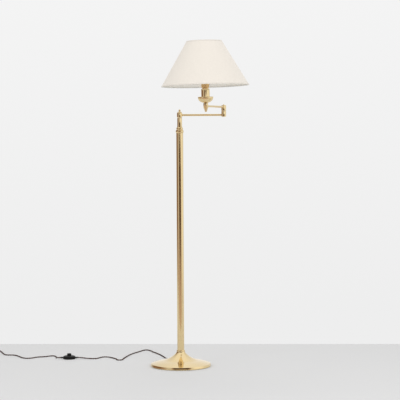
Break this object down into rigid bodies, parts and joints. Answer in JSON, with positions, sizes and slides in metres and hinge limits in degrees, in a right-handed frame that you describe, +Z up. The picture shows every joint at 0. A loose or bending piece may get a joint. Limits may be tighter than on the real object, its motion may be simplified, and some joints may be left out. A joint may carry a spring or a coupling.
{
  "type": "floor lamp",
  "caption": "Bridge floor lamp with a round weighted base, a slim column, a folding double swing arm, a tapered fabric shade, and a foot switch in its twisted textile cord.",
  "frame": {"origin": "on the floor, at the centre of the underside of the base's felt pad, on the column's axis", "axes": "+Z up along the column; +X along the lower arm at rest, from the column to the elbow; +Y away from the side that the shade hangs over"},
  "size_m": [1.4031, 0.947, 1.5772],
  "materials": {
    "brass": "polished and lacquered",
    "dark_brass": "satin",
    "iron": "rough, painted black",
    "steel": "satin",
    "felt": "felted",
    "rubber": "matte",
    "black_plastic": "fine-grained",
    "ceramic": "glazed",
    "washer": "smooth",
    "copper": "bright",
    "shade_fabric": "fine plain weave",
    "shade_backing": "smooth film",
    "shade_tape": "folded tape",
    "wire": "powder coated",
    "bulb_cap": "rolled thread",
    "bulb_glass": "opal",
    "flex": "braided textile over twisted cores",
    "lead": "smooth sheath",
    "tie": "woven"
  },
  "bodies": {
    "stand": {"base_pad": "felt", "base_cover": "brass", "base_weight": "iron", "base_nipple": "steel", "base_washer": "steel", "base_nut": "steel", "base_bushing": "rubber", "foot_ring": "brass", "column_plug": "steel", "column_tube": "brass", "column_collar": "brass", "column_neck": "brass", "column_lead": "lead", "pivot_spindle": "dark_brass", "pivot_washer": "washer", "finial": "brass", "switch_plate": "black_plastic", "switch_cover": "black_plastic", "switch_block": "ceramic", "switch_glands": "rubber", "switch_screws": "steel", "switch_spring": "steel", "cord_to_switch": "flex", "cord_to_coil": "flex", "cord_coil": "flex", "cord_to_plug": "flex", "cord_tie": "tie", "plug_body": "black_plastic", "plug_pins": "steel"},
    "lower_arm": {"swing_hub": "brass", "lower_arm_tube": "brass", "lower_arm_lead": "lead", "lower_knuckle": "brass", "knuckle_cap": "brass", "elbow_pin": "dark_brass", "elbow_washer": "washer", "elbow_finial": "brass"},
    "upper_arm": {"upper_knuckle": "brass", "upper_arm_tube": "brass", "upper_arm_lead": "lead", "cup_hub": "brass", "cup_nipple": "steel", "drip_dish": "brass", "sleeve": "brass", "holder_cap": "dark_brass", "holder_shell": "dark_brass", "holder_insert": "ceramic", "holder_contacts": "copper", "holder_rings": "brass", "bulb_cap": "bulb_cap", "bulb_glass": "bulb_glass", "fitter_plate": "wire", "fitter_arms": "wire", "shade_top_wire": "wire", "shade_bottom_wire": "wire", "shade_backing": "shade_backing", "shade_fabric": "shade_fabric", "shade_top_tape": "shade_tape", "shade_bottom_tape": "shade_tape"},
    "foot_button": {"switch_button": "black_plastic"}
  },
  "joints": [
    {"name": "arm_swing", "type": "hinge", "parent": "stand", "child": "lower_arm", "pos_m": [0, 0, 1.2285], "axis": [0, 0, 1], "range_deg": [-165, 165]},
    {"name": "elbow_swing", "type": "hinge", "parent": "lower_arm", "child": "upper_arm", "pos_m": [0.215, 0, 1.248], "axis": [0, 0, 1], "range_deg": [-50, 275]},
    {"name": "switch_press", "type": "slide", "parent": "stand", "child": "foot_button", "axis": [0, 0, -1], "range_m": [0, 0.0035], "stiffness_N_per_m": 3000, "springref_m": -0.001, "deforming": ["switch_spring"]}
  ]
}
